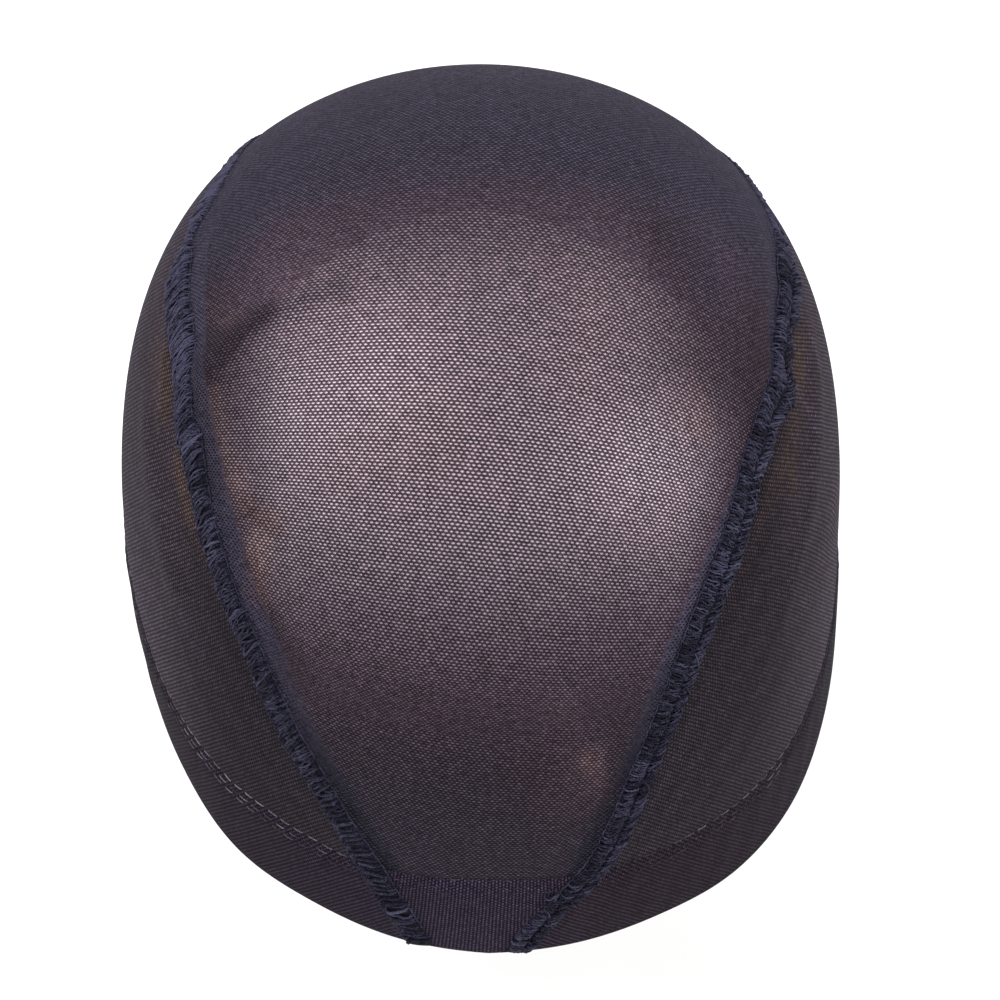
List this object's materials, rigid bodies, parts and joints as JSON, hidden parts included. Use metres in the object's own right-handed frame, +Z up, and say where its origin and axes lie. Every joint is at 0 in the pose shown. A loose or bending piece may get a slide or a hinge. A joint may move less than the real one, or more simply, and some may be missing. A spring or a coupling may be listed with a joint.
{
  "type": "wig cap",
  "caption": "stretchy dark net wig cap in its worn dome form: crown panel and side panels joined by overlocked seams, with a folded stitched hem",
  "frame": {"origin": "the inside of the crown at its highest point, on the middle plane, where the cap rests on a head", "axes": "+Z up, +Y toward the back of the head, -Y toward the face, +X toward the wearer's left"},
  "size_m": [0.1534, 0.1934, 0.1514],
  "materials": {
    "net": "open stretch net of fine matte yarn, dark purple-black",
    "hem": "two layers of the net folded, near black, matte",
    "seam_thread": "dark navy overlock thread with a soft sheen"
  },
  "bodies": {
    "root": {"crown_panel": "net", "left_side_panel": "net", "right_side_panel": "net", "nape_hem_band": "hem", "forehead_hem_band": "hem", "left_hem_band": "hem", "right_hem_band": "hem", "left_seam": "seam_thread", "right_seam": "seam_thread"}
  },
  "joints": []
}
